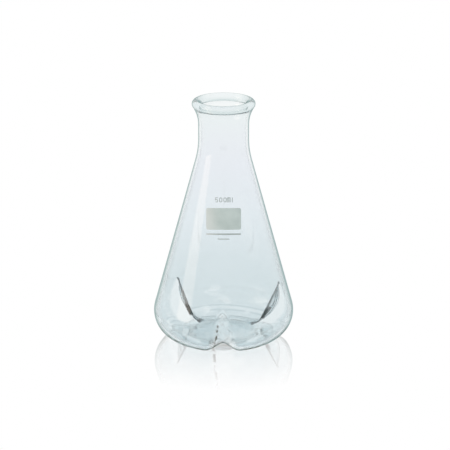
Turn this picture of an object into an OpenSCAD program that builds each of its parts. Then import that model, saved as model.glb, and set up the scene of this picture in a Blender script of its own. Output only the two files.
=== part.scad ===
// Baffled culture flask of 500 ml with a beaded stopper mouth.
// The vessel is one piece of blown borosilicate glass. Three blade-shaped baffles are pressed
// into its heel while the glass is soft. A writing spot, the capacity and two plain rules are
// printed on the front in white enamel and fired on.
// Origin: centre of the foot, on the surface the flask stands on. +Z up, printed front on -Y.

/* [Body] */
// Largest outside diameter, at the heel
body_d = 104; // [100:1:108]
// Height from the foot to the top of the rim
flask_h = 182; // [178:1:190]
// Radius of the rounded heel between the foot and the cone
heel_r = 20.5; // [19:0.5:22]
// Half angle of the conical wall
cone_angle = 15.4; // [14.8:0.1:15.8]
// Thickness of the blown wall
wall = 2; // [1.8:0.1:2.4]
// Thickness of the glass under the foot
base_wall = 2.6; // [2.4:0.1:3]
// Width of the flat ring that the flask stands on
foot_w = 5.5; // [4:0.5:7]
// Rise of the underside at the centre
kick_h = 4.5; // [3:0.5:6]

/* [Neck] */
// Outside diameter of the straight neck, where a clamp grips
neck_d = 37; // [36:0.5:38]
// Radius of the sweep from the cone into the neck
shoulder_r = 61; // [55:1:64]
// Radius of the sweep from the neck out to the rim
flare_r = 25; // [22:1:28]
// Radius of the gentler sweep of the bore, inside the flare
mouth_r = 36; // [32:1:44]

/* [Rim] */
// Outside diameter of the beaded rim
rim_d = 46.2; // [45.6:0.2:47]
// Thickness of the bead itself
bead_d = 6.2; // [5.8:0.2:6.6]

/* [Baffles] */
// Directions of the three hand-pressed baffles, in degrees from +X
baffle_at = [-91, 24, 140]; // [-180:1:180]
// Height where a baffle leaves the wall
baffle_top = 37; // [35:1:38]
// Distance of a baffle's inner corner from the axis
ridge_in = 30; // [28:0.5:34]
// Height of a baffle's inner corner
ridge_low = 5; // [4.5:0.5:8]
// Half width of a baffle's mouth at the foot
mouth_half = 18; // [13:0.5:20]
// Share of the wall that is stretched away along a baffle's sharp edge
stretched = 0.6; // [0:0.05:0.65]

/* [Enamel print] */
// Width of the writing spot
spot_w = 25.2; // [20:0.1:27]
// Height of the writing spot
spot_h = 15.7; // [12:0.1:17]
// Height of the figures of the capacity
figure_h = 3.6; // [3:0.1:4]
// Width of a figure's stroke
stroke = 0.55; // [0.4:0.05:0.6]
// Thickness of the enamel
enamel = 0.15; // [0.08:0.01:0.2]

/* [Hidden] */
$fn = 96;

glass = [0.80, 0.90, 0.92, 0.35];
enamel_white = [0.82, 0.84, 0.81];

// ---- Meridian of the vessel: the outside line, from the foot up to the rim ----
body_r = body_d / 2;
foot_r = body_r - heel_r;              // outer edge of the flat foot, and the heel's centre
foot_in = foot_r - foot_w;
cone_foot = [foot_r + heel_r * cos(cone_angle), heel_r + heel_r * sin(cone_angle)];
function cone_r(z) = cone_foot[0] - (z - cone_foot[1]) * tan(cone_angle);

neck_r = neck_d / 2;
bore_r = neck_r - wall;
shoulder_c = [neck_r + shoulder_r,     // tangent to the cone and to the straight neck
    (cone_foot * [cos(cone_angle), sin(cone_angle)] + shoulder_r
        - (neck_r + shoulder_r) * cos(cone_angle)) / sin(cone_angle)];
shoulder_foot = shoulder_c - shoulder_r * [cos(cone_angle), sin(cone_angle)];

bead_r = bead_d / 2;
bead_c = [rim_d / 2 - bead_r, flask_h - bead_r];
flare_c = [neck_r + flare_r,
    bead_c[1] - sqrt(pow(flare_r + bead_r, 2) - pow(neck_r + flare_r - bead_c[0], 2))];
flare_top = flare_c + (bead_c - flare_c) * flare_r / (flare_r + bead_r);
mouth_c = [bore_r + mouth_r, flare_c[1]];
mouth_top_r = mouth_c[0] - sqrt(pow(mouth_r, 2) - pow(bead_c[1] - mouth_c[1], 2));

// ---- The lower vessel, whose heel is pushed in by the baffles ----
seam_z = 39;                           // above this height the vessel is a plain solid of revolution
lap = 2;                               // how far the lower vessel runs up inside the upper wall
seam = 0.1;                            // how much it is thinner there, on each face
kick_r = (pow(foot_in, 2) + pow(kick_h, 2)) / (2 * kick_h);
kick_angle = asin(foot_in / kick_r);

// Lengths of the outside line's four stretches, from the top of the lap to the centre below.
cone_run = (seam_z + lap - cone_foot[1]) / cos(cone_angle);
heel_run = heel_r * (90 + cone_angle) * PI / 180;
kick_run = kick_r * kick_angle * PI / 180;
run_1 = cone_run;
run_2 = run_1 + heel_run;
run_3 = run_2 + foot_w;
run_4 = run_3 + kick_run;

// A point [r, z] of the outside line at distance s along it.
function plain(s) =
    s <= run_1 ? cone_foot + (run_1 - s) * [-sin(cone_angle), cos(cone_angle)] :
    s <= run_2 ? let (a = cone_angle - (s - run_1) / heel_r * 180 / PI)
        [foot_r + heel_r * cos(a), heel_r + heel_r * sin(a)] :
    s <= run_3 ? [foot_r - (s - run_2), 0] :
    let (a = kick_angle * (1 - (s - run_3) / kick_run))
        [kick_r * sin(a), kick_h - kick_r * (1 - cos(a))];

// The line of a baffle's sharp edge: straight down and in from the wall to its inner corner,
// and from there out of the underside. Both are given by u, from 0 at the top to 1 at the end.
groove_top = (seam_z + lap - baffle_top) / cos(cone_angle);
groove_end = run_3 + 0.32 * kick_run;
corner_u = 0.76;
function share(s) = (s - groove_top) / (groove_end - groove_top);
function edge_line(u) = u < corner_u
    ? plain(groove_top) * (1 - u / corner_u) + [ridge_in, ridge_low] * u / corner_u
    : [ridge_in, ridge_low] * (1 - u) / (1 - corner_u) + plain(groove_end) * (u - corner_u) / (1 - corner_u);
function rounded_edge(u) = (edge_line(u - 0.05) + 2 * edge_line(u) + edge_line(u + 0.05)) / 4;
function ease(x) = x <= 0 ? 0 : x >= 1 ? 1 : x * x * (3 - 2 * x);
function push(s) = let (u = share(s))
    ease(u / 0.1) * ease((1 - u) / 0.2) * (rounded_edge(u) - plain(s));

// Half width of the groove, narrow at its top and wide at the foot, and the dent across it.
mouth_top = 3;
dent_power = 2;
function half_width(s, r) = min(0.7 * r,
    mouth_top + (mouth_half - mouth_top) * pow(min(max(share(s), 0), 1), 0.8));
function dent(x) = let (a = sqrt(x * x + 0.0009) - 0.03) a >= 1 ? 0 : pow(1 - a, dent_power);

// The three dents' shares at distance s along the line and at angle a about the axis.
function dents(s, a) = let (r = plain(s)[0], w = half_width(s, r))
    [for (b = baffle_at) cos(a - b) > 0 ? dent(r * sin(a - b) / w) : 0];

// A point of the outside there.
function outside(s, a) = let (
    p = plain(s), d = push(s), shares = dents(s, a),
    along = shares * [for (b = baffle_at) [cos(b), sin(b)]],
    total = shares * [1, 1, 1])
    [p[0] * cos(a) + d[0] * along[0], p[0] * sin(a) + d[0] * along[1], p[1] + d[1] * total];

function unit(v) = v / norm(v);
function outward(s, a) = let (ds = 0.05, da = 0.2)
    unit(cross(outside(s, a + da) - outside(s, a - da), outside(s - ds, a) - outside(s + ds, a)));
function thickness(s, a) = let (
    plain_wall = wall + (base_wall - wall) * min(max((s - run_1) / heel_run, 0), 1),
    u = share(s), on_edge = ease(u / 0.1) * ease((1 - u) / 0.2) * (dents(s, a) * [1, 1, 1]))
    plain_wall * (1 - stretched * on_edge);
function seam_gap(s) = seam * ease(1.5 - s / (lap + 1));

// Rows run down the outside line. Columns stand at fixed angles and crowd in at each baffle.
rows = [
    for (s = [0, lap + 0.3, groove_top + 0.6, groove_top + 3.6, groove_top + 7]) s,
    for (i = [0 : 13]) run_1 + heel_run * i / 14,
    run_2, run_2 + foot_w / 2, run_3,
    for (share_in = [0.11, 0.26, 0.45, 0.65, 0.88]) run_3 + kick_run * share_in];
beside = [0.5, 1.2, 2.2, 3.8, 6, 9, 13, 19, 27];
lobe_steps = 10;
angles = [for (i = [0 : 2])
    let (at = baffle_at[i], next = baffle_at[(i + 1) % 3] + (i == 2 ? 360 : 0), clear = 27) each [
        for (k = [8 : -1 : 0]) at - beside[k],
        at,
        for (k = [0 : 8]) at + beside[k],
        for (k = [1 : lobe_steps - 1]) at + clear + (next - at - 2 * clear) * k / lobe_steps]];

outer_rings = [for (s = rows) [for (a = angles) outside(s, a) - seam_gap(s) * outward(s, a)]];
inner_rings = [for (s = rows) [for (a = angles)
    outside(s, a) - (thickness(s, a) - seam_gap(s)) * outward(s, a)]];
columns = len(angles);
levels = len(rows);

module lower_vessel() {
    rings = concat(outer_rings, [for (i = [levels - 1 : -1 : 0]) inner_rings[i]]);
    below = [0, 0, kick_h];
    above = [0, 0, kick_h + base_wall];
    points = concat([for (ring = rings) each ring], [below, above]);
    last = len(points) - 1;
    // Two triangles for each cell of a band between two rings, and a fan at each centre.
    function cell(i, j) = let (k = (j + 1) % columns, p = i * columns, q = (i + 1) % len(rings) * columns)
        [[p + j, q + k, q + j], [p + j, p + k, q + k]];
    bands = [for (i = [0 : len(rings) - 1]) if (i != levels - 1) for (j = [0 : columns - 1]) each cell(i, j)];
    fan_below = [for (j = [0 : columns - 1])
        [(levels - 1) * columns + j, (levels - 1) * columns + (j + 1) % columns, last - 1]];
    fan_above = [for (j = [0 : columns - 1])
        [levels * columns + j, last, levels * columns + (j + 1) % columns]];
    polyhedron(points, concat(bands, fan_below, fan_above), convexity = 10);
}

// ---- The upper vessel: cone, shoulder, neck, flare and bead, turned about the axis ----
module upper_section() {
    hair = 0.002;                      // each sweep bites this far into its neighbours, to meet them cleanly
    normal = [cos(cone_angle), sin(cone_angle)];
    inner_foot = cone_foot - wall * normal;
    function inner_r(z) = inner_foot[0] - (z - inner_foot[1]) * tan(cone_angle);
    difference() {
        // outside of the cone, shoulder, straight neck and flare
        polygon([[0, seam_z], [cone_r(seam_z), seam_z], shoulder_foot, [neck_r, shoulder_c[1]],
            [neck_r, flare_c[1]], flare_top, bead_c, [0, bead_c[1]]]);
        translate(shoulder_c) circle(shoulder_r + hair);
        translate(flare_c) circle(flare_r + hair);
        // cavity, whose shoulder is swept about the same centre and whose mouth opens more gently
        difference() {
            polygon([[0, seam_z - 1], [inner_r(seam_z - 1), seam_z - 1], shoulder_foot - wall * normal,
                [bore_r, shoulder_c[1]], [bore_r, mouth_c[1]], [mouth_top_r, bead_c[1]],
                [mouth_top_r, flask_h], [0, flask_h]]);
            translate(shoulder_c) circle(shoulder_r + wall + hair);
            translate(mouth_c) circle(mouth_r + hair);
        }
    }
    // bead
    translate(bead_c) circle(bead_r);
}

module glass_flask() color(glass) union() {
    rotate_extrude() upper_section();
    lower_vessel();
}

// ---- Enamel print on the front of the cone ----
// Slant distances are measured up the front of the cone from the middle of the writing spot.
spot_z = 101;
rule_gap = 3.2;

module enamel_skin(shape_h) {
    reach = 30;
    intersection() {
        rotate_extrude() polygon([[cone_r(spot_z - reach), spot_z - reach],
            [cone_r(spot_z - reach) + enamel, spot_z - reach],
            [cone_r(spot_z + reach) + enamel, spot_z + reach],
            [cone_r(spot_z + reach), spot_z + reach]]);
        translate([0, -cone_r(spot_z), spot_z]) rotate([90 - cone_angle, 0, 0])
            translate([0, shape_h, -6]) linear_extrude(8) children();
    }
}

module rounded_plate(w, h, r) {
    square([w - 2 * r, h], center = true);
    square([w, h - 2 * r], center = true);
    for (x = [-1, 1], y = [-1, 1]) translate([x * (w / 2 - r), y * (h / 2 - r)]) circle(r, $fn = 32);
}

figure_w = 0.62 * figure_h;
pitch = figure_w + 1.5 * stroke;

module ring(w, h) difference() {
    rounded_plate(w, h, w / 2 - 0.01);
    rounded_plate(w - 2 * stroke, h - 2 * stroke, w / 2 - stroke - 0.01);
}

module figure_0() ring(figure_w, figure_h);

module figure_5() {
    bowl = figure_h * 0.62;
    translate([0, (figure_h - stroke) / 2]) square([figure_w * 0.9, stroke], center = true);
    translate([-figure_w / 2 + stroke / 2 + 0.05, figure_h * 0.22])
        square([stroke, figure_h * 0.56 - 0.1], center = true);
    translate([0, (bowl - figure_h) / 2]) difference() {
        ring(figure_w, bowl);
        translate([-figure_w, -bowl * 0.22]) square([figure_w * 0.85, bowl * 0.44]);
    }
}

module letter_m() {
    x_h = figure_h * 0.68;
    arch_w = figure_h * 0.44;
    translate([0, (x_h - figure_h) / 2]) {
        for (x = [-1, 1]) translate([x * (arch_w - stroke) / 2, 0]) difference() {
            ring(arch_w, 2 * x_h);
            translate([-figure_h, -2 * x_h]) square([2 * figure_h, 1.5 * x_h]);
        }
    }
}

module capacity_figures() color(enamel_white) enamel_skin(spot_h / 2 + 5.9) {
    translate([-5.1, 0]) figure_5();
    for (i = [1, 2]) translate([-5.1 + i * pitch, 0]) figure_0();
}

module capacity_unit() color(enamel_white) enamel_skin(spot_h / 2 + 5.9) {
    translate([3.7, 0]) letter_m();
    translate([6.3, 0]) square([stroke, figure_h], center = true);
}

module writing_spot() color(enamel_white) enamel_skin(0) rounded_plate(spot_w, spot_h, 1.3);

module long_rule() color(enamel_white)
    enamel_skin(-spot_h / 2 - rule_gap) rounded_plate(spot_w, 1.1, 0.5);

module short_rule() color(enamel_white)
    enamel_skin(-spot_h / 2 - 2.1 * rule_gap) rounded_plate(spot_w / 3, 0.7, 0.3);

glass_flask();
writing_spot();
capacity_figures();
capacity_unit();
long_rule();
short_rule();
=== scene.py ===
import math

import bpy
import numpy as np
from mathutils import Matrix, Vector


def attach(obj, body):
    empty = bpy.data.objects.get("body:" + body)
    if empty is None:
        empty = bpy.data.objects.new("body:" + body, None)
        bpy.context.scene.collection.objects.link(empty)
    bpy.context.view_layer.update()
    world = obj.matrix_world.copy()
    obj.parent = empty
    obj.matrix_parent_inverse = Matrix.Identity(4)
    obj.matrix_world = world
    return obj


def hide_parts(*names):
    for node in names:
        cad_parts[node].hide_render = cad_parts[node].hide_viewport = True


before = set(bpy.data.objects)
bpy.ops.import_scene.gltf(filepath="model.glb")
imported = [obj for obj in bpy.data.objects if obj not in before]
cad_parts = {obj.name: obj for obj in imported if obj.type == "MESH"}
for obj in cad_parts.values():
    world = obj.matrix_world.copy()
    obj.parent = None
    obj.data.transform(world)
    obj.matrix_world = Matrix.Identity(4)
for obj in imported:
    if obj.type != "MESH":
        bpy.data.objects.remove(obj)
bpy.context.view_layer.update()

# ---- Camera and colour -----------------------------------------------------------------------
# A long lens 1.5 m away looks 18 degrees down at the middle of the flask.
scene = bpy.context.scene
scene.view_settings.view_transform = "Standard"
scene.view_settings.look = "None"
# Light is followed far enough to leave the folded glass of the baffles again.
scene.cycles.max_bounces = 32
scene.cycles.glossy_bounces = 24
scene.cycles.transmission_bounces = 24
look_at = Vector((0, 0, 0.090))
distance = 1.5
look_down = math.radians(17.976)
camera_data = bpy.data.cameras.new("camera")
camera_data.lens = 162.65
camera_data.sensor_width = 36
camera_data.shift_x = 0.0031
camera_data.shift_y = -0.0103
camera_data.clip_start = 0.05
camera_data.clip_end = 50
camera = bpy.data.objects.new("camera", camera_data)
camera.location = look_at + distance * Vector((0, -math.cos(look_down), math.sin(look_down)))
camera.rotation_euler = (math.pi / 2 - look_down, 0, 0)
scene.collection.objects.link(camera)
scene.camera = camera


# ---- The vessel ------------------------------------------------------------------------------
# One piece of blown borosilicate glass: a foot with a raised underside, a rounded heel, a conical
# wall, a straight neck and a flared mouth with a solid beaded rim. While the heel is soft, three
# blades are pressed into it by hand, and each leaves a sharp-edged baffle that stirs the culture.
def new_tree_node(tree, kind, **settings):
    node = tree.nodes.new(kind)
    for name, value in settings.items():
        setattr(node, name, value)
    return node


def plug(tree, node, socket, value):
    """Feeds an input from another node's output, or sets it to a value."""
    if isinstance(value, bpy.types.NodeSocket):
        tree.links.new(value, node.inputs[socket])
    elif value is not None:
        node.inputs[socket].default_value = value


def calculate(tree, operation, a, b=None, c=None):
    node = new_tree_node(tree, "ShaderNodeMath", operation=operation)
    for socket, value in enumerate((a, b, c)):
        plug(tree, node, socket, value)
    return node.outputs[0]


def vector_of(tree, x, y, z):
    node = new_tree_node(tree, "ShaderNodeCombineXYZ")
    for socket, value in enumerate((x, y, z)):
        plug(tree, node, socket, value)
    return node.outputs[0]


def split_vector(tree, vector):
    node = new_tree_node(tree, "ShaderNodeSeparateXYZ")
    plug(tree, node, 0, vector)
    return node.outputs


def vector_sum(tree, a, b):
    node = new_tree_node(tree, "ShaderNodeVectorMath", operation="ADD")
    plug(tree, node, 0, a)
    plug(tree, node, 1, b)
    return node.outputs[0]


def scaled(tree, vector, factor):
    node = new_tree_node(tree, "ShaderNodeVectorMath", operation="SCALE")
    plug(tree, node, 0, vector)
    plug(tree, node, "Scale", factor)
    return node.outputs[0]


# Sizes in millimetres, as the glass is drawn.
heel_radius = 20.5
foot_radius = 104 / 2 - heel_radius
ring_width = 5.5
foot_inner = foot_radius - ring_width
kick_rise = 4.5
lean = math.radians(15.4)
wall_thickness = 2.0
base_thickness = 2.6
stretched = 0.6
neck_radius = 37 / 2
bore_radius = neck_radius - wall_thickness
shoulder_sweep = 61.0
flare_sweep = 25.0
bead_section = 3.1
bead_centre = np.array([46.2 / 2 - bead_section, 182 - bead_section])
groove_top = 37.0
groove_reach = 0.32
blade_corner = np.array([30.0, 5.0])
corner_share = 0.76
half_width_at_top = 3.0
half_width_at_foot = 18.0

cone_normal = np.array([math.cos(lean), math.sin(lean)])
cone_start = np.array([foot_radius, heel_radius]) + heel_radius * cone_normal
lower_top = 41.0
cone_run = (lower_top - cone_start[1]) / math.cos(lean)
heel_end = cone_run + heel_radius * (math.pi / 2 + lean)
foot_end = heel_end + ring_width
kick_radius = (foot_inner ** 2 + kick_rise ** 2) / (2 * kick_rise)
kick_angle = math.asin(foot_inner / kick_radius)
centre_run = foot_end + kick_radius * kick_angle


def outside_line(run):
    """A point (radius, height) of the unpressed outside, a run down the line from the cone's top."""
    if run <= cone_run:
        return cone_start + (cone_run - run) * np.array([-math.sin(lean), math.cos(lean)])
    if run <= heel_end:
        a = lean - (run - cone_run) / heel_radius
        return np.array([foot_radius + heel_radius * math.cos(a), heel_radius + heel_radius * math.sin(a)])
    if run <= foot_end:
        return np.array([foot_radius - (run - heel_end), 0.0])
    a = kick_angle * (1 - (run - foot_end) / (centre_run - foot_end))
    return np.array([kick_radius * math.sin(a), kick_rise - kick_radius * (1 - math.cos(a))])


groove_start = (lower_top - groove_top) / math.cos(lean)
groove_end = foot_end + groove_reach * (centre_run - foot_end)
roll_at = cone_run + heel_radius * (lean + math.radians(6))
roll_rise = 0.22
roll_width = 2.2


def ease(x):
    x = min(max(x, 0.0), 1.0)
    return x * x * (3 - 2 * x)


def blade_edge(share):
    """The line that a blade's edge presses to, from the wall down to its corner and out under the foot."""
    if share < corner_share:
        along = share / corner_share
        return outside_line(groove_start) * (1 - along) + blade_corner * along
    along = (share - corner_share) / (1 - corner_share)
    return blade_corner * (1 - along) + outside_line(groove_end) * along


def groove_share(run):
    """How far along a groove a point lies, and how fully the groove is formed there."""
    share = (run - groove_start) / (groove_end - groove_start)
    return share, ease(share / 0.1) * ease((1 - share) / 0.2)


def groove(run):
    """How far the glass is pushed at the middle of a groove, and the groove's half width."""
    share, formed = groove_share(run)
    rounding = 0.05
    edge = (blade_edge(share - rounding) + 2 * blade_edge(share) + blade_edge(share + rounding)) / 4
    push = formed * (edge - outside_line(run))
    opening = min(max(share, 0.0), 1.0) ** 0.8
    half = half_width_at_top + (half_width_at_foot - half_width_at_top) * opening
    return push, max(min(half, 0.7 * outside_line(run)[0]), 0.01)


def thickness(run):
    """The wall thickens towards the foot, with a low roll where the parison met the mould's heel."""
    heel_share = min(max((run - cone_run) / (heel_end - cone_run), 0.0), 1.0)
    roll = roll_rise * math.exp(-((run - roll_at) / roll_width) ** 2)
    return wall_thickness + (base_thickness - wall_thickness) * heel_share + roll


def thinning(run):
    """The share of the wall that a blade's edge stretches away."""
    return stretched * groove_share(run)[1]


def arc(centre, radius, start, end, steps):
    """Points of an arc after its first one, with angles in radians."""
    return [centre + radius * np.array([math.cos(a), math.sin(a)])
            for a in np.linspace(start, end, steps + 1)[1:]]


def straight(start, end, steps):
    return [start + (end - start) * k / steps for k in range(1, steps + 1)]


shoulder_height = (cone_start @ cone_normal + shoulder_sweep
                   - (neck_radius + shoulder_sweep) * cone_normal[0]) / cone_normal[1]
shoulder_centre = np.array([neck_radius + shoulder_sweep, shoulder_height])
flare_across = neck_radius + flare_sweep - bead_centre[0]
flare_height = bead_centre[1] - math.sqrt((flare_sweep + bead_section) ** 2 - flare_across ** 2)
flare_centre = np.array([neck_radius + flare_sweep, flare_height])
flare_stop = math.atan2(bead_centre[1] - flare_height, -flare_across)
mouth_sweep = 36.0
mouth_centre = np.array([bore_radius + mouth_sweep, flare_height])
# The bore's own sweep runs into the underside of the bead.
to_bead = bead_centre - mouth_centre
bead_away = math.hypot(*to_bead)
meeting = math.acos((bead_away ** 2 + mouth_sweep ** 2 - bead_section ** 2) / (2 * bead_away * mouth_sweep))
mouth_stop = math.atan2(to_bead[1], to_bead[0]) + meeting
mouth_end = mouth_centre + mouth_sweep * np.array([math.cos(mouth_stop), math.sin(mouth_stop)])
bead_stop = math.atan2(mouth_end[1] - bead_centre[1], mouth_end[0] - bead_centre[0]) + math.tau

# The lower outside is listed from the centre out and up, and the inside comes back down to it.
lower_steps = 72
lower_runs = [centre_run - centre_run * k / lower_steps for k in range(lower_steps + 1)]
upper_outside = (
    straight(outside_line(0), shoulder_centre - shoulder_sweep * cone_normal, 12)
    + arc(shoulder_centre, shoulder_sweep, math.pi + lean, math.pi, 10)
    + straight(np.array([neck_radius, shoulder_height]), np.array([neck_radius, flare_height]), 3)
    + arc(flare_centre, flare_sweep, math.pi, flare_stop, 10)
    + arc(bead_centre, bead_section, flare_stop - math.pi, bead_stop, 40))
shoulder_inner = shoulder_sweep + wall_thickness
upper_inside = (
    arc(mouth_centre, mouth_sweep, mouth_stop, math.pi, 10)
    + straight(np.array([bore_radius, flare_height]), np.array([bore_radius, shoulder_height]), 3)
    + arc(shoulder_centre, shoulder_inner, math.pi, math.pi + lean, 10)
    + straight(shoulder_centre - shoulder_inner * cone_normal,
               outside_line(0) - wall_thickness * cone_normal, 12)[:-1])

# Each point of the line: its place, the push, the groove's half width, the wall, 1 on the inside, and
# the share of the wall that is stretched away.
MM = 0.001
unpressed = np.zeros(2)
line = []
for run in lower_runs:
    push, half = groove(run)
    line.append((outside_line(run), push, half, 0.0, 0.0, 0.0))
line += [(point, unpressed, 1.0, 0.0, 0.0, 0.0) for point in upper_outside]
line += [(point, unpressed, 1.0, 0.0, 1.0, 0.0) for point in upper_inside]
for run in lower_runs[:0:-1]:
    push, half = groove(run)
    line.append((outside_line(run), push, half, thickness(run), 1.0, thinning(run)))
line.append((np.array([0.0, kick_rise + base_thickness]), unpressed, 1.0, 0.0, 1.0, 0.0))
points, pushes, halves, walls, inners, thinned = zip(*line)

line_mesh = bpy.data.meshes.new("flask_line")
line_mesh.from_pydata([(r * MM, 0, z * MM) for r, z in points],
                      [(k, k + 1) for k in range(len(points) - 1)], [])
push_layer = line_mesh.attributes.new("push", "FLOAT_VECTOR", "POINT")
push_layer.data.foreach_set("vector", [v * MM for r, z in pushes for v in (r, 0, z)])
for name, values, unit in (("groove_half", halves, MM), ("wall", walls, MM), ("inner", inners, 1.0),
                           ("thinned", thinned, 1.0)):
    layer = line_mesh.attributes.new(name, "FLOAT", "POINT")
    layer.data.foreach_set("value", [v * unit for v in values])

# One pressed baffle: how far it moves a point of the turned glass.
press = bpy.data.node_groups.new("press_baffle", "GeometryNodeTree")
for name, kind in (("Radius", "Float"), ("Angle", "Float"), ("Direction", "Float"), ("Push", "Vector"),
                   ("Groove Half Width", "Float"), ("Roundness", "Float"), ("Power", "Float")):
    press.interface.new_socket(name, in_out="INPUT", socket_type="NodeSocket" + kind)
press.interface.new_socket("Offset", in_out="OUTPUT", socket_type="NodeSocketVector")
press.interface.new_socket("Dent", in_out="OUTPUT", socket_type="NodeSocketFloat")
given = new_tree_node(press, "NodeGroupInput").outputs
apart = calculate(press, "SUBTRACT", given["Angle"], given["Direction"])
beside = calculate(press, "MULTIPLY", given["Radius"], calculate(press, "SINE", apart))
across = calculate(press, "DIVIDE", beside, given["Groove Half Width"])
squared = calculate(press, "MULTIPLY_ADD", across, across,
                    calculate(press, "MULTIPLY", given["Roundness"], given["Roundness"]))
rounded = calculate(press, "SUBTRACT", calculate(press, "SQRT", squared), given["Roundness"])
depth = calculate(press, "MAXIMUM", calculate(press, "SUBTRACT", 1.0, rounded), 0.0)
facing = calculate(press, "GREATER_THAN", calculate(press, "COSINE", apart), 0.0)
dent = calculate(press, "MULTIPLY", calculate(press, "POWER", depth, given["Power"]), facing)
inward, _, up = split_vector(press, given["Push"])
offset = scaled(press, vector_of(
    press,
    calculate(press, "MULTIPLY", inward, calculate(press, "COSINE", given["Direction"])),
    calculate(press, "MULTIPLY", inward, calculate(press, "SINE", given["Direction"])),
    up), dent)
press_out = new_tree_node(press, "NodeGroupOutput")
press.links.new(offset, press_out.inputs["Offset"])
press.links.new(dent, press_out.inputs["Dent"])

# The vessel: turn the line about the axis, press the baffles, and give the lower wall its thickness.
vessel = bpy.data.node_groups.new("pressed_flask", "GeometryNodeTree")
vessel.interface.new_socket("Geometry", in_out="INPUT", socket_type="NodeSocketGeometry")
for name, kind in (("Columns", "Int"), ("Baffle 1", "Float"), ("Baffle 2", "Float"), ("Baffle 3", "Float"),
                   ("Edge Roundness", "Float"), ("Groove Power", "Float"), ("Uneven Wall", "Float"),
                   ("Seed", "Float"), ("Material", "Material")):
    vessel.interface.new_socket(name, in_out="INPUT", socket_type="NodeSocket" + kind)
vessel.interface.new_socket("Geometry", in_out="OUTPUT", socket_type="NodeSocketGeometry")
given = new_tree_node(vessel, "NodeGroupInput").outputs
size = new_tree_node(vessel, "GeometryNodeAttributeDomainSize", component="MESH")
vessel.links.new(given["Geometry"], size.inputs["Geometry"])
rows = size.outputs["Point Count"]
grid = new_tree_node(vessel, "GeometryNodeMeshGrid")
plug(vessel, grid, "Vertices X", calculate(vessel, "ADD", given["Columns"], 1.0))
plug(vessel, grid, "Vertices Y", rows)
index = new_tree_node(vessel, "GeometryNodeInputIndex").outputs[0]
column = calculate(vessel, "FLOOR", calculate(vessel, "DIVIDE", calculate(vessel, "ADD", index, 0.5), rows))
row = calculate(vessel, "SUBTRACT", index, calculate(vessel, "MULTIPLY", column, rows))


def line_value(name, kind):
    """Reads the turned line at this point's row."""
    sample = new_tree_node(vessel, "GeometryNodeSampleIndex", data_type=kind, domain="POINT")
    if name == "position":
        value = new_tree_node(vessel, "GeometryNodeInputPosition").outputs[0]
    else:
        attribute = new_tree_node(vessel, "GeometryNodeInputNamedAttribute", data_type=kind)
        attribute.inputs["Name"].default_value = name
        value = attribute.outputs["Attribute"]
    vessel.links.new(given["Geometry"], sample.inputs["Geometry"])
    vessel.links.new(value, sample.inputs["Value"])
    vessel.links.new(row, sample.inputs["Index"])
    return sample.outputs["Value"]


radius, _, height = split_vector(vessel, line_value("position", "FLOAT_VECTOR"))
push = line_value("push", "FLOAT_VECTOR")
groove_half = line_value("groove_half", "FLOAT")
wall = line_value("wall", "FLOAT")

# Columns crowd in at the baffles. The join of the turned sheet is half way between two of them.
crowding = 0.82
sector = calculate(vessel, "MULTIPLY_ADD", calculate(vessel, "DIVIDE", column, given["Columns"]), 3.0, 0.5)
sector_at = calculate(vessel, "FLOOR", sector)
within = calculate(vessel, "SUBTRACT", sector, sector_at)
swing = calculate(vessel, "SINE", calculate(vessel, "MULTIPLY", within, math.tau))
eased = calculate(vessel, "SUBTRACT", within, calculate(vessel, "MULTIPLY", swing, crowding / math.tau))
before_first = calculate(vessel, "SUBTRACT", given["Baffle 3"], math.tau)
after_last = calculate(vessel, "ADD", given["Baffle 1"], math.tau)


def pick(*choices):
    """Takes the choice that belongs to this point's sector."""
    node = new_tree_node(vessel, "GeometryNodeIndexSwitch", data_type="FLOAT")
    while len(node.index_switch_items) < len(choices):
        node.index_switch_items.new()
    vessel.links.new(sector_at, node.inputs["Index"])
    for socket, value in enumerate(choices):
        vessel.links.new(value, node.inputs[socket + 1])
    return node.outputs[0]


first = pick(before_first, given["Baffle 1"], given["Baffle 2"], given["Baffle 3"])
second = pick(given["Baffle 1"], given["Baffle 2"], given["Baffle 3"], after_last)
angle = calculate(vessel, "MULTIPLY_ADD", calculate(vessel, "SUBTRACT", second, first), eased, first)
place = vector_of(vessel,
                  calculate(vessel, "MULTIPLY", radius, calculate(vessel, "COSINE", angle)),
                  calculate(vessel, "MULTIPLY", radius, calculate(vessel, "SINE", angle)),
                  height)
moved = vector_of(vessel, 0.0, 0.0, 0.0)
deepest = 0.0
for name in ("Baffle 1", "Baffle 2", "Baffle 3"):
    one = new_tree_node(vessel, "GeometryNodeGroup", node_tree=press)
    for socket, value in (("Radius", radius), ("Angle", angle), ("Direction", given[name]), ("Push", push),
                          ("Groove Half Width", groove_half), ("Roundness", given["Edge Roundness"]),
                          ("Power", given["Groove Power"])):
        vessel.links.new(value, one.inputs[socket])
    moved = vector_sum(vessel, moved, one.outputs["Offset"])
    deepest = calculate(vessel, "MAXIMUM", deepest, one.outputs["Dent"])
place = vector_sum(vessel, place, moved)
turned = new_tree_node(vessel, "GeometryNodeSetPosition")
vessel.links.new(grid.outputs["Mesh"], turned.inputs["Geometry"])
vessel.links.new(place, turned.inputs["Position"])

# The glass remembers how far each point was pushed, and how near it lies to a blade's edge.
moved_by = new_tree_node(vessel, "ShaderNodeVectorMath", operation="LENGTH")
vessel.links.new(moved, moved_by.inputs[0])
marked = turned
for name, value in (("pushed", moved_by.outputs["Value"]), ("blade", deepest),
                    ("inner", line_value("inner", "FLOAT"))):
    store = new_tree_node(vessel, "GeometryNodeStoreNamedAttribute", data_type="FLOAT", domain="POINT")
    store.inputs["Name"].default_value = name
    vessel.links.new(marked.outputs[0], store.inputs["Geometry"])
    vessel.links.new(value, store.inputs["Value"])
    marked = store

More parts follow.
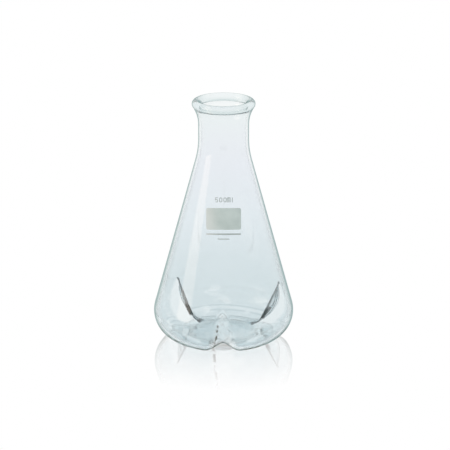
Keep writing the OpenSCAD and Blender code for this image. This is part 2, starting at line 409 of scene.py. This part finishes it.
# A point of the inside lies behind the outside's point of the same height, along that one's normal.
facing_row = calculate(vessel, "SUBTRACT", calculate(vessel, "SUBTRACT", rows, 1.0), row)
facing_column = calculate(vessel, "MODULO", column, given["Columns"])
facing_index = calculate(vessel, "MULTIPLY_ADD", facing_column, rows, facing_row)
normal_there = new_tree_node(vessel, "GeometryNodeFieldAtIndex", data_type="FLOAT_VECTOR", domain="POINT")
vessel.links.new(new_tree_node(vessel, "GeometryNodeInputNormal").outputs[0], normal_there.inputs["Value"])
vessel.links.new(facing_index, normal_there.inputs["Index"])
ripple = new_tree_node(vessel, "ShaderNodeTexNoise", noise_dimensions="4D")
plug(vessel, ripple, "W", given["Seed"])
plug(vessel, ripple, "Scale", 28.0)
plug(vessel, ripple, "Detail", 1.0)
vessel.links.new(place, ripple.inputs["Vector"])
unevenness = calculate(vessel, "MULTIPLY_ADD",
                       calculate(vessel, "SUBTRACT", ripple.outputs[0], 0.5), given["Uneven Wall"], 1.0)
unevenness = calculate(vessel, "SUBTRACT", unevenness,
                       calculate(vessel, "MULTIPLY", deepest, line_value("thinned", "FLOAT")))
walled = new_tree_node(vessel, "GeometryNodeSetPosition")
vessel.links.new(marked.outputs[0], walled.inputs["Geometry"])
vessel.links.new(scaled(vessel, normal_there.outputs[0],
                        calculate(vessel, "MULTIPLY", calculate(vessel, "MULTIPLY", wall, unevenness), -1.0)),
                 walled.inputs["Offset"])
merged = new_tree_node(vessel, "GeometryNodeMergeByDistance")
merged.inputs["Distance"].default_value = 1e-6
smooth = new_tree_node(vessel, "GeometryNodeSetShadeSmooth")
realized = new_tree_node(vessel, "GeometryNodeRealizeInstances")
finished = new_tree_node(vessel, "GeometryNodeSetMaterial")
vessel_out = new_tree_node(vessel, "NodeGroupOutput")
chain = (walled, merged, smooth, realized, finished, vessel_out)
for one, following in zip(chain, chain[1:]):
    vessel.links.new(one.outputs[0], following.inputs["Geometry"])
vessel.links.new(given["Material"], finished.inputs["Material"])


def new_material(name):
    material = bpy.data.materials.new(name)
    material.use_nodes = True
    tree = material.node_tree
    shader = tree.nodes["Principled BSDF"]
    return material, tree, shader


def ramped(tree, value, start, end, low, high, soft=True):
    """Takes a value's range from start to end and lays it on low to high."""
    node = new_tree_node(tree, "ShaderNodeMapRange", interpolation_type="SMOOTHSTEP" if soft else "LINEAR")
    plug(tree, node, "Value", value)
    for socket, number in zip(("From Min", "From Max", "To Min", "To Max"), (start, end, low, high)):
        node.inputs[socket].default_value = number
    return node.outputs[0]


def blended(tree, factor, first, second):
    node = new_tree_node(tree, "ShaderNodeMix", data_type="RGBA")
    for socket, value in ((0, factor), (6, first), (7, second)):
        plug(tree, node, socket, value)
    return node.outputs[2]


def noise(tree, where, scale, detail):
    node = new_tree_node(tree, "ShaderNodeTexNoise")
    plug(tree, node, "Vector", where)
    plug(tree, node, "Scale", scale)
    plug(tree, node, "Detail", detail)
    return node.outputs[0]


def near(tree, value, centre, reach):
    """1 where a value is at the centre, falling softly to 0 at the reach on either side."""
    off = calculate(tree, "ABSOLUTE", calculate(tree, "SUBTRACT", value, centre))
    return ramped(tree, off, 0.0, reach, 1.0, 0.0)


def product(tree, *factors):
    total = factors[0]
    for factor in factors[1:]:
        total = calculate(tree, "MULTIPLY", total, factor)
    return total


# Clear borosilicate: faintly blue-green through a long path, with the drawn striae of blown glass.
# Its rims are painted grey-green shade edge on, and the pinched edges of the rear baffles painted shade,
# nearly black low down.
clear_glass, glass_tree, glass_shader = new_material("clear_borosilicate")
glass_shader.inputs["IOR"].default_value = 1.473
glass_shader.inputs["Specular IOR Level"].default_value = 0.0
glass_where = new_tree_node(glass_tree, "ShaderNodeTexCoord").outputs["Object"]
drawn = new_tree_node(glass_tree, "ShaderNodeMapping")
drawn.inputs["Scale"].default_value = (1.0, 1.0, 0.12)
glass_tree.links.new(glass_where, drawn.inputs["Vector"])
striae = noise(glass_tree, drawn.outputs[0], 260.0, 2.0)
glass_tree.links.new(ramped(glass_tree, striae, 0.0, 1.0, 0.0, 0.02), glass_shader.inputs["Roughness"])
glass_side, glass_depth, glass_height = split_vector(glass_tree, glass_where)
# The glass's tint, darkened from the neck down to the foot: painted shade for the darker lower part of the
# flask.
tint_and_shade = new_tree_node(glass_tree, "ShaderNodeValToRGB")
tint_and_shade_stops = ((0.00, (0.80, 0.857, 0.873)), (0.25, (0.82, 0.870, 0.884)), (0.50, (0.891, 0.922, 0.940)),
         (0.75, (0.921, 0.931, 0.954)), (1.00, (0.933, 0.955, 0.950)))
while len(tint_and_shade.color_ramp.elements) < len(tint_and_shade_stops):
    tint_and_shade.color_ramp.elements.new(0.5)
for stop, (share, colour) in zip(tint_and_shade.color_ramp.elements, tint_and_shade_stops):
    stop.position = share
    stop.color = (*colour, 1)
glass_tree.links.new(ramped(glass_tree, glass_height, 0.0, 0.182, 0.0, 1.0, soft=False), tint_and_shade.inputs[0])
pushed, blade, inner = (
    new_tree_node(glass_tree, "ShaderNodeAttribute", attribute_name=name).outputs["Fac"]
    for name in ("pushed", "blade", "inner"))
flank = ramped(glass_tree, pushed, 0.0004, 0.004, 0.0, 1.0)
off_flank = ramped(glass_tree, pushed, 0.0004, 0.004, 1.0, 0.0)
outer = ramped(glass_tree, inner, 0.0, 1.0, 1.0, 0.0)
rear = ramped(glass_tree, glass_depth, -0.005, 0.005, 0.0, 1.0)
front = ramped(glass_tree, rear, 0.0, 1.0, 1.0, 0.0)
# Painted light: the baffles' flanks are left nearly untinted, so that their folded glass does not darken.
look = blended(glass_tree, flank, tint_and_shade.outputs[0], (0.985, 0.995, 0.995, 1))

# Painted light and shade: two faint dark rings and a pale one, where the far heel folds the light of the
# foot.
wave = 0.0016
wavy = calculate(glass_tree, "MULTIPLY_ADD", noise(glass_tree, glass_where, 25.0, 1.0), wave, glass_height)
ring_place = product(glass_tree, rear, outer, off_flank)
high_ring, painted_light_ring, low_ring = (
    near(glass_tree, wavy, height, reach)
    for height, reach in ((0.0070, 0.0007), (0.0055, 0.0012), (0.0040, 0.0007)))
painted_shade_rings = calculate(glass_tree, "MAXIMUM", high_ring, low_ring)
look = blended(glass_tree, product(glass_tree, painted_light_ring, ring_place, 0.9), look, (1.0, 1.0, 1.0, 1))
look = blended(glass_tree, product(glass_tree, painted_shade_rings, ring_place, 0.6), look, (0.40, 0.50, 0.53, 1))

# Painted light and shade on the heel: pale folds, wider than they are tall, and a few darker patches.
heel_place = product(glass_tree, ramped(glass_tree, glass_height, 0.012, 0.026, 1.0, 0.0), off_flank)
flattened = new_tree_node(glass_tree, "ShaderNodeMapping")
flattened.inputs["Scale"].default_value = (1.0, 1.0, 2.4)
glass_tree.links.new(glass_where, flattened.inputs["Vector"])
folds = noise(glass_tree, flattened.outputs[0], 62.0, 2.0)
painted_light_folds = product(glass_tree, ramped(glass_tree, folds, 0.55, 0.66, 0.0, 0.8), heel_place)
painted_shade_folds = product(glass_tree, ramped(glass_tree, folds, 0.30, 0.42, 0.35, 0.0), heel_place, outer)
look = blended(glass_tree, painted_light_folds, look, (0.99, 1.0, 1.0, 1))
look = blended(glass_tree, painted_shade_folds, look, (0.60, 0.68, 0.72, 1))

# A soft grey line of painted shade where the bead was rolled onto the flare.
bead_join = float(flare_height + flare_sweep * math.sin(flare_stop)) * MM
bead_join_shade = product(glass_tree, near(glass_tree, glass_height, bead_join, 0.0012), outer, 0.7)
look = blended(glass_tree, bead_join_shade, look, (0.55, 0.66, 0.66, 1))

# Painted shade and light at the front groove: a broken row of small dark spots on one flank and pale facets
# on the other.
blotches = noise(glass_tree, glass_where, 230.0, 1.0)
painted_shade_spots = product(glass_tree, near(glass_tree, blade, 0.34, 0.17), front, outer,
                ramped(glass_tree, glass_side, -0.002, 0.0, 1.0, 0.0),
                ramped(glass_tree, glass_height, 0.024, 0.030, 1.0, 0.0),
                ramped(glass_tree, blotches, 0.44, 0.54, 0.0, 1.0))
painted_light_facets = product(glass_tree, near(glass_tree, blade, 0.30, 0.22), front, outer,
                 ramped(glass_tree, glass_side, 0.0, 0.002, 0.0, 1.0),
                 ramped(glass_tree, blotches, 0.40, 0.60, 1.0, 0.0))
look = blended(glass_tree, painted_light_facets, look, (1.0, 1.0, 0.99, 1))
look = blended(glass_tree, painted_shade_spots, look, (0.07, 0.08, 0.055, 1))

# Painted shade: seen edge on, the outside darkens to grey-green, and so do the lips of the front groove at
# the foot, darker still low down.
grazing = new_tree_node(glass_tree, "ShaderNodeLayerWeight")
grazing.inputs["Blend"].default_value = 0.5
facing_away = grazing.outputs["Facing"]
at_foot = product(glass_tree, ramped(glass_tree, glass_height, 0.004, 0.009, 1.0, 0.0), front)
rim_place = calculate(glass_tree, "MAXIMUM", ramped(glass_tree, pushed, 0.0002, 0.003, 1.0, 0.0), at_foot)
rim_shade = product(glass_tree, ramped(glass_tree, facing_away, 0.58, 0.84, 0.0, 1.0), rim_place,
                    ramped(glass_tree, inner, 0.0, 1.0, 1.0, 0.2))
on_bead = ramped(glass_tree, glass_height, 0.1745, 0.1765, 0.0, 1.0)
bead_shade = product(glass_tree, ramped(glass_tree, facing_away, 0.54, 0.80, 0.0, 0.7), on_bead)
rim_shade = calculate(glass_tree, "MAXIMUM", rim_shade, bead_shade)
low_rim_darkening = product(glass_tree, ramped(glass_tree, glass_height, 0.004, 0.018, 1.0, 0.0),
               ramped(glass_tree, blotches, 0.40, 0.60, 0.2, 1.0))
rim_shade_colour = blended(glass_tree, low_rim_darkening, (0.33, 0.44, 0.44, 1), (0.10, 0.12, 0.095, 1))
look = blended(glass_tree, rim_shade, look, rim_shade_colour)

# Painted shade: the two rear blades' edges are darkened, thinly above and wider and nearly black in their
# lower third.
thin_edge_shade = ramped(glass_tree, blade, 0.94, 0.985, 0.0, 0.45)
wide_edge_shade = product(glass_tree, ramped(glass_tree, blade, 0.86, 0.93, 0.0, 1.0),
                     ramped(glass_tree, glass_height, 0.0145, 0.0180, 1.0, 0.0))
above_corner = ramped(glass_tree, glass_height, 0.0080, 0.0090, 0.0, 1.0)
ridge_shade = product(glass_tree, calculate(glass_tree, "MAXIMUM", thin_edge_shade, wide_edge_shade),
                      flank, rear, above_corner)
look = blended(glass_tree, ridge_shade, look, (0.012, 0.042, 0.042, 1))
glass_tree.links.new(look, glass_shader.inputs["Base Color"])
# Where shade is painted, the glass also lets less light through.
shaded = calculate(glass_tree, "MAXIMUM", calculate(glass_tree, "MAXIMUM", rim_shade, ridge_shade), painted_shade_spots)
glass_tree.links.new(calculate(glass_tree, "MULTIPLY_ADD", shaded, -0.9, 1.0),
                     glass_shader.inputs["Transmission Weight"])
absorb = new_tree_node(glass_tree, "ShaderNodeVolumeAbsorption")
absorb.inputs["Color"].default_value = (0.067, 0.417, 0.517, 1)
absorb.inputs["Density"].default_value = 12.0
glass_tree.links.new(absorb.outputs[0], glass_tree.nodes["Material Output"].inputs["Volume"])

flask = bpy.data.objects.new("flask_glass", line_mesh)
scene.collection.objects.link(flask)
shaper = flask.modifiers.new("shape", "NODES")
shaper.node_group = vessel
flask_sizes = {"Columns": 360, "Baffle 1": math.radians(-91), "Baffle 2": math.radians(24),
               "Baffle 3": math.radians(140), "Edge Roundness": 0.03, "Groove Power": 2.0,
               "Uneven Wall": 0.10, "Seed": 3.0, "Material": clear_glass}
for item in vessel.interface.items_tree:
    if item.in_out == "INPUT" and item.name in flask_sizes:
        shaper[item.identifier] = flask_sizes[item.name]
evaluated = flask.evaluated_get(bpy.context.evaluated_depsgraph_get())
flask_mesh = bpy.data.meshes.new_from_object(evaluated)
flask.modifiers.clear()
flask.data = flask_mesh
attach(flask, "root")
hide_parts("glass_flask")

# ---- The enamel print ------------------------------------------------------------------------
# A writing spot, the capacity and two plain rules, screen printed in white ceramic enamel on the
# front of the cone and fired on. The enamel is matt, a little uneven, and takes a pencil.
def enamel_material(name, darker, lighter):
    """Mottled matt enamel, lighter towards its left end."""
    material, tree, shader = new_material(name)
    where = new_tree_node(tree, "ShaderNodeTexCoord").outputs["Object"]
    side, _, _ = split_vector(tree, where)
    grains = noise(tree, where, 2600.0, 3.0)
    patches = calculate(tree, "MULTIPLY", noise(tree, where, 130.0, 2.0), 0.6)
    mottle = ramped(tree, calculate(tree, "MULTIPLY_ADD", grains, 0.4, patches), 0.3, 0.7, 0.0, 1.0)
    mottled = blended(tree, mottle, darker, lighter)
    lighter_left = ramped(tree, side, -0.013, -0.002, 0.5, 0.0)
    tree.links.new(blended(tree, lighter_left, mottled, (0.66, 0.68, 0.66, 1)), shader.inputs["Base Color"])
    shader.inputs["Roughness"].default_value = 0.6
    bump = new_tree_node(tree, "ShaderNodeBump")
    bump.inputs["Strength"].default_value = 0.25
    bump.inputs["Distance"].default_value = 0.00005
    tree.links.new(grains, bump.inputs["Height"])
    tree.links.new(bump.outputs[0], shader.inputs["Normal"])
    return material


spot_enamel = enamel_material("spot_enamel", (0.405, 0.48, 0.46, 1), (0.49, 0.565, 0.545, 1))
line_enamel = enamel_material("line_enamel", (0.31, 0.365, 0.355, 1), (0.38, 0.435, 0.425, 1))
for name in ("writing_spot", "capacity_figures", "capacity_unit", "long_rule", "short_rule"):
    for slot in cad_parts[name].material_slots:
        slot.material = spot_enamel if name == "writing_spot" else line_enamel

# ---- Studio ----------------------------------------------------------------------------------
# A glossy white table under an even white tent, with one tall, warm soft box at the left. The table's
# gloss fades away from the flask.
table_mesh = bpy.data.meshes.new("table")
table_mesh.from_pydata([(-4, -4, 0), (4, -4, 0), (4, 4, 0), (-4, 4, 0)], [], [(0, 1, 2, 3)])
table = bpy.data.objects.new("table", table_mesh)
scene.collection.objects.link(table)
gloss, gloss_tree, gloss_shader = new_material("white_table")
gloss_tree.nodes.remove(gloss_shader)
glow = new_tree_node(gloss_tree, "ShaderNodeEmission")
glow.inputs["Strength"].default_value = 1.0
mirror = new_tree_node(gloss_tree, "ShaderNodeBsdfGlossy")
mirror.inputs["Color"].default_value = (1.0, 1.0, 1.0, 1)
mirror.inputs["Roughness"].default_value = 0.004
table_where = new_tree_node(gloss_tree, "ShaderNodeTexCoord").outputs["Object"]
away = new_tree_node(gloss_tree, "ShaderNodeVectorMath", operation="LENGTH")
gloss_tree.links.new(table_where, away.inputs[0])
gloss_full, gloss_gone, gloss_share = 0.040, 0.108, 0.50
fading = ramped(gloss_tree, away.outputs["Value"], gloss_full, gloss_gone, gloss_share, 0.0, soft=False)
surface = new_tree_node(gloss_tree, "ShaderNodeMixShader")
gloss_tree.links.new(fading, surface.inputs[0])
gloss_tree.links.new(glow.outputs[0], surface.inputs[1])
gloss_tree.links.new(mirror.outputs[0], surface.inputs[2])
gloss_tree.links.new(surface.outputs[0], gloss_tree.nodes["Material Output"].inputs["Surface"])
table_mesh.materials.append(gloss)

world = bpy.data.worlds.new("tent")
world.use_nodes = True
world.node_tree.nodes["Background"].inputs["Color"].default_value = (1, 1, 1, 1)
world.node_tree.nodes["Background"].inputs["Strength"].default_value = 1.0
scene.world = world

box_place = Vector((-1.15, -0.42, 0.55))
box_aim = Vector((0, 0, 0.1))
box_data = bpy.data.lights.new("left_box", "AREA")
box_data.color = (1.0, 0.72, 0.55)
box_data.shape = "RECTANGLE"
box_data.size = 0.62
box_data.size_y = 1.0
box_data.energy = 2.3
box = bpy.data.objects.new("left_box", box_data)
box.location = box_place
box.rotation_euler = (box_aim - box_place).to_track_quat("-Z", "Y").to_euler()
scene.collection.objects.link(box)
